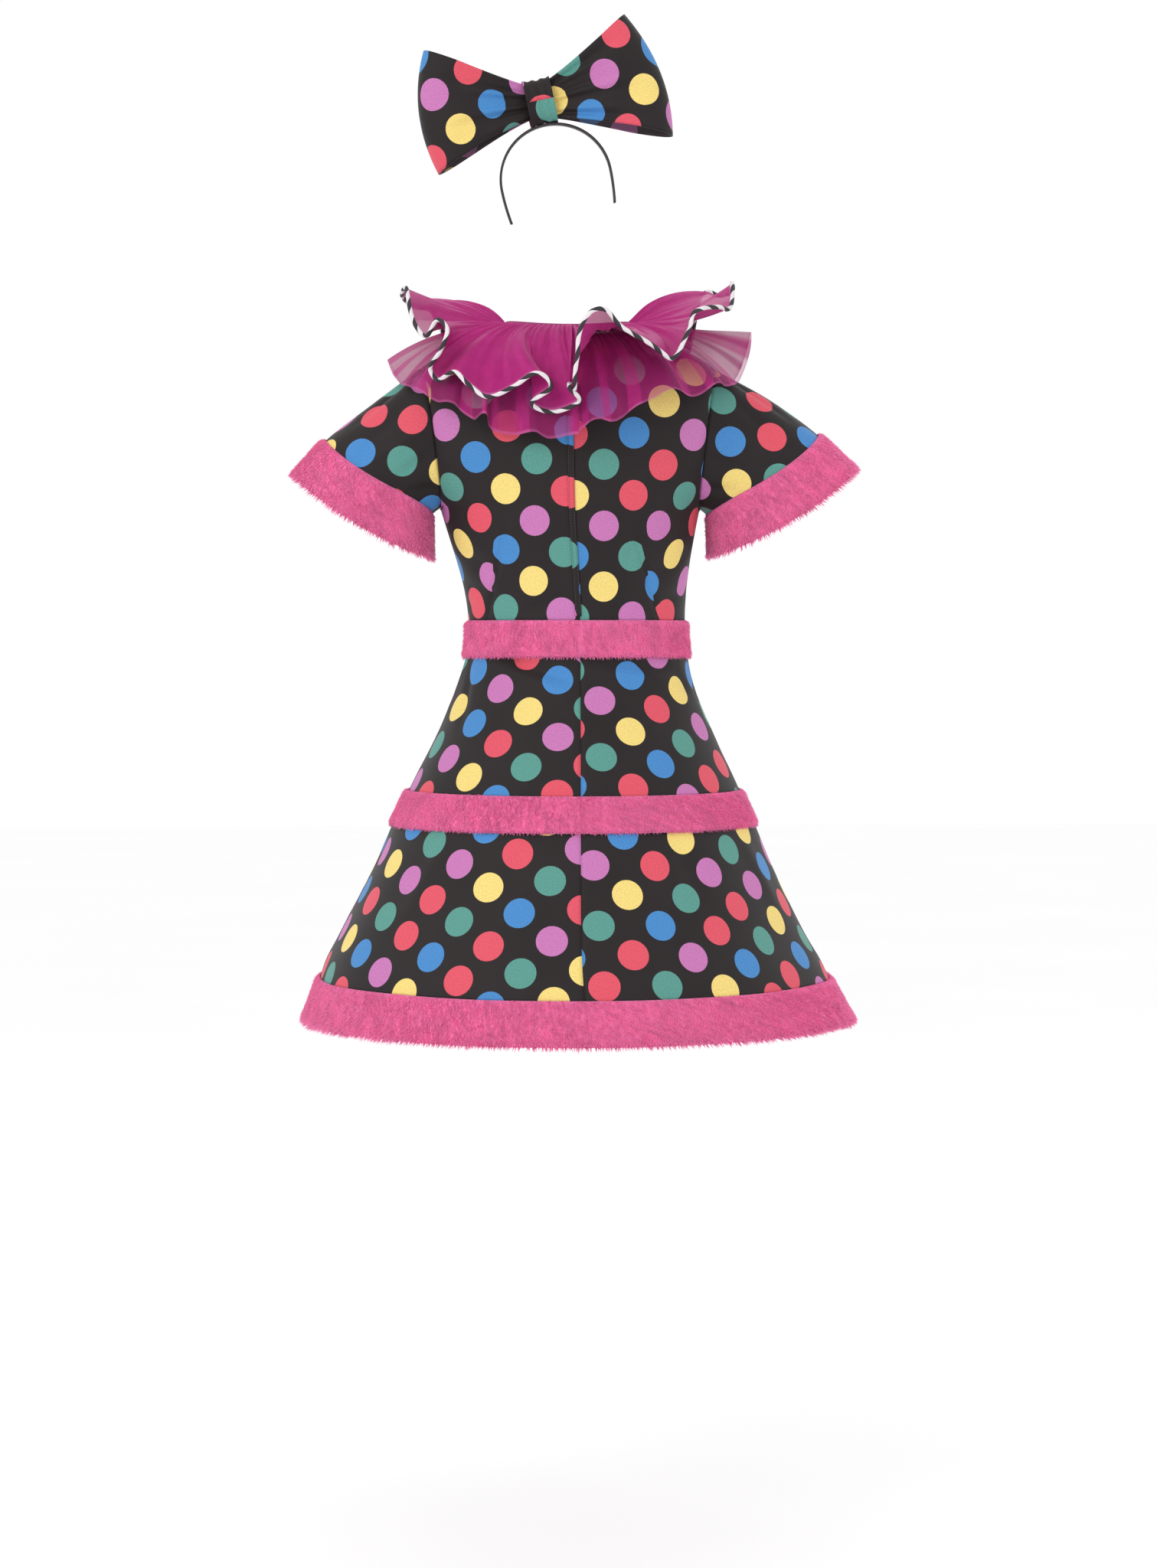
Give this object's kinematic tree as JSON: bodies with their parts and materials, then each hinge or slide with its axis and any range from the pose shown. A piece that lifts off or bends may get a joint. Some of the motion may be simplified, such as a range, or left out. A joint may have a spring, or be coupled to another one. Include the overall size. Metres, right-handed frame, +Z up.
{
  "type": "clown costume",
  "caption": "Worn clown costume: a flared dotted dress with short sleeves, pink fur bands and a gathered organza ruffle collar, with its matching dotted hair bow on a headband.",
  "frame": {"origin": "on the wearer's neck axis, level with the nape at the back of the neckline, where the dress hangs from the neck and shoulders", "axes": "+X to the wearer's left, +Y out of the wearer's back, +Z up along the wearer's spine"},
  "size_m": [0.6938, 0.6398, 1.2369],
  "materials": {
    "dotted_cloth": "smooth woven polyester, near black, printed with dots in red, yellow, green, blue and orchid",
    "pink_fur": "short plush faux fur in hot pink",
    "organza": "sheer crisp fuchsia organza",
    "striped_cord": "thin round piping with black and white diagonal stripes",
    "dark_band": "plain black ribbon over a spring band"
  },
  "bodies": {
    "root": {"bodice_front": "dotted_cloth", "bodice_back_left": "dotted_cloth", "bodice_back_right": "dotted_cloth", "zip_lap": "dotted_cloth", "sleeve_left": "dotted_cloth", "sleeve_right": "dotted_cloth", "cuff_left": "pink_fur", "cuff_right": "pink_fur", "waistband": "pink_fur", "skirt_upper_front": "dotted_cloth", "skirt_upper_back_left": "dotted_cloth", "skirt_upper_back_right": "dotted_cloth", "middle_band": "pink_fur", "skirt_lower_front": "dotted_cloth", "skirt_lower_back_left": "dotted_cloth", "skirt_lower_back_right": "dotted_cloth", "hem_band": "pink_fur", "neck_binding": "organza", "ruffle_lower": "organza", "ruffle_upper": "organza", "piping": "striped_cord", "bow_loop_left": "dotted_cloth", "bow_loop_right": "dotted_cloth", "bow_knot": "dotted_cloth", "headband": "dark_band"}
  },
  "joints": []
}
